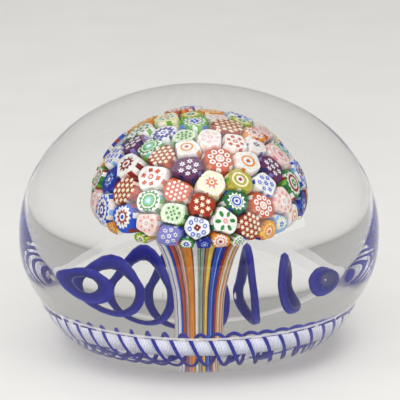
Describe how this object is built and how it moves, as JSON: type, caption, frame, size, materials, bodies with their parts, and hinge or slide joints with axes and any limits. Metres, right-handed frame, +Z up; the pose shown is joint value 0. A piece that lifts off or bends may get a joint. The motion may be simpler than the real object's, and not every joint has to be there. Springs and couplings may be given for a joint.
{
  "type": "paperweight",
  "caption": "Domed clear glass paperweight with a mushroom tuft of patterned canes on a striped stem, a coiled thread ring around it and a star-cut foot.",
  "frame": {"origin": "centre of the ground foot, on the surface the weight stands on", "axes": "+Z up along the axis of the dome; +X to the right and -Y towards the viewer of the front"},
  "size_m": [0.08, 0.08, 0.0577],
  "materials": {
    "cane_blue_cog_white_star": "opaque coloured glass, drawn and fused",
    "cane_blue_red_cog": "opaque coloured glass, drawn and fused",
    "cane_blue_white": "opaque coloured glass, drawn and fused",
    "cane_blue_yellow": "opaque coloured glass, drawn and fused",
    "cane_cobalt": "opaque coloured glass, drawn and fused",
    "cane_coral_tubes": "opaque coloured glass, drawn and fused",
    "cane_cream_salmon_star": "opaque coloured glass, drawn and fused",
    "cane_dark_green_blue_ring": "opaque coloured glass, drawn and fused",
    "cane_green_blue_star": "opaque coloured glass, drawn and fused",
    "cane_green_cog_blue_star": "opaque coloured glass, drawn and fused",
    "cane_green_cog_turquoise": "opaque coloured glass, drawn and fused",
    "cane_green_red_concentric": "opaque coloured glass, drawn and fused",
    "cane_green_yellow": "opaque coloured glass, drawn and fused",
    "cane_lilac_stars": "opaque coloured glass, drawn and fused",
    "cane_olive_ring": "opaque coloured glass, drawn and fused",
    "cane_orange": "opaque coloured glass, drawn and fused",
    "cane_orange_cog": "opaque coloured glass, drawn and fused",
    "cane_orange_tubes": "opaque coloured glass, drawn and fused",
    "cane_pale_green_dots": "opaque coloured glass, drawn and fused",
    "cane_pink_cog": "opaque coloured glass, drawn and fused",
    "cane_pink_oval": "opaque coloured glass, drawn and fused",
    "cane_pink_star_ring": "opaque coloured glass, drawn and fused",
    "cane_purple_stars": "opaque coloured glass, drawn and fused",
    "cane_red_honeycomb": "opaque coloured glass, drawn and fused",
    "cane_red_seven_stars": "opaque coloured glass, drawn and fused",
    "cane_red_stars": "opaque coloured glass, drawn and fused",
    "cane_shamrock": "opaque coloured glass, drawn and fused",
    "cane_white_blue_rods": "opaque coloured glass, drawn and fused",
    "cane_white_dark_red": "opaque coloured glass, drawn and fused",
    "cane_white_green": "opaque coloured glass, drawn and fused",
    "cane_white_orange_ring": "opaque coloured glass, drawn and fused",
    "cane_white_pink_dots": "opaque coloured glass, drawn and fused",
    "cane_white_purple_star": "opaque coloured glass, drawn and fused",
    "cane_white_red_petals": "opaque coloured glass, drawn and fused",
    "cane_white_rings_clover": "opaque coloured glass, drawn and fused",
    "cane_yellow_dots": "opaque coloured glass, drawn and fused",
    "crystal_base": "clear crystal, ground foot with a polished star cut",
    "crystal_dome": "clear polished crystal",
    "torsade_casing": "clear crystal",
    "torsade_gauze": "fine white lattice threads, opaque",
    "torsade_thread": "opaque cobalt blue"
  },
  "bodies": {
    "root": {"cane_blue_cog_white_star": "cane_blue_cog_white_star", "cane_blue_red_cog": "cane_blue_red_cog", "cane_blue_white": "cane_blue_white", "cane_blue_yellow": "cane_blue_yellow", "cane_cobalt": "cane_cobalt", "cane_coral_tubes": "cane_coral_tubes", "cane_cream_salmon_star": "cane_cream_salmon_star", "cane_dark_green_blue_ring": "cane_dark_green_blue_ring", "cane_green_blue_star": "cane_green_blue_star", "cane_green_cog_blue_star": "cane_green_cog_blue_star", "cane_green_cog_turquoise": "cane_green_cog_turquoise", "cane_green_red_concentric": "cane_green_red_concentric", "cane_green_yellow": "cane_green_yellow", "cane_lilac_stars": "cane_lilac_stars", "cane_olive_ring": "cane_olive_ring", "cane_orange": "cane_orange", "cane_orange_cog": "cane_orange_cog", "cane_orange_tubes": "cane_orange_tubes", "cane_pale_green_dots": "cane_pale_green_dots", "cane_pink_cog": "cane_pink_cog", "cane_pink_oval": "cane_pink_oval", "cane_pink_star_ring": "cane_pink_star_ring", "cane_purple_stars": "cane_purple_stars", "cane_red_honeycomb": "cane_red_honeycomb", "cane_red_seven_stars": "cane_red_seven_stars", "cane_red_stars": "cane_red_stars", "cane_shamrock": "cane_shamrock", "cane_white_blue_rods": "cane_white_blue_rods", "cane_white_dark_red": "cane_white_dark_red", "cane_white_green": "cane_white_green", "cane_white_orange_ring": "cane_white_orange_ring", "cane_white_pink_dots": "cane_white_pink_dots", "cane_white_purple_star": "cane_white_purple_star", "cane_white_red_petals": "cane_white_red_petals", "cane_white_rings_clover": "cane_white_rings_clover", "cane_yellow_dots": "cane_yellow_dots", "crystal_base": "crystal_base", "crystal_dome": "crystal_dome", "torsade_casing": "torsade_casing", "torsade_gauze": "torsade_gauze", "torsade_thread": "torsade_thread"}
  },
  "joints": []
}
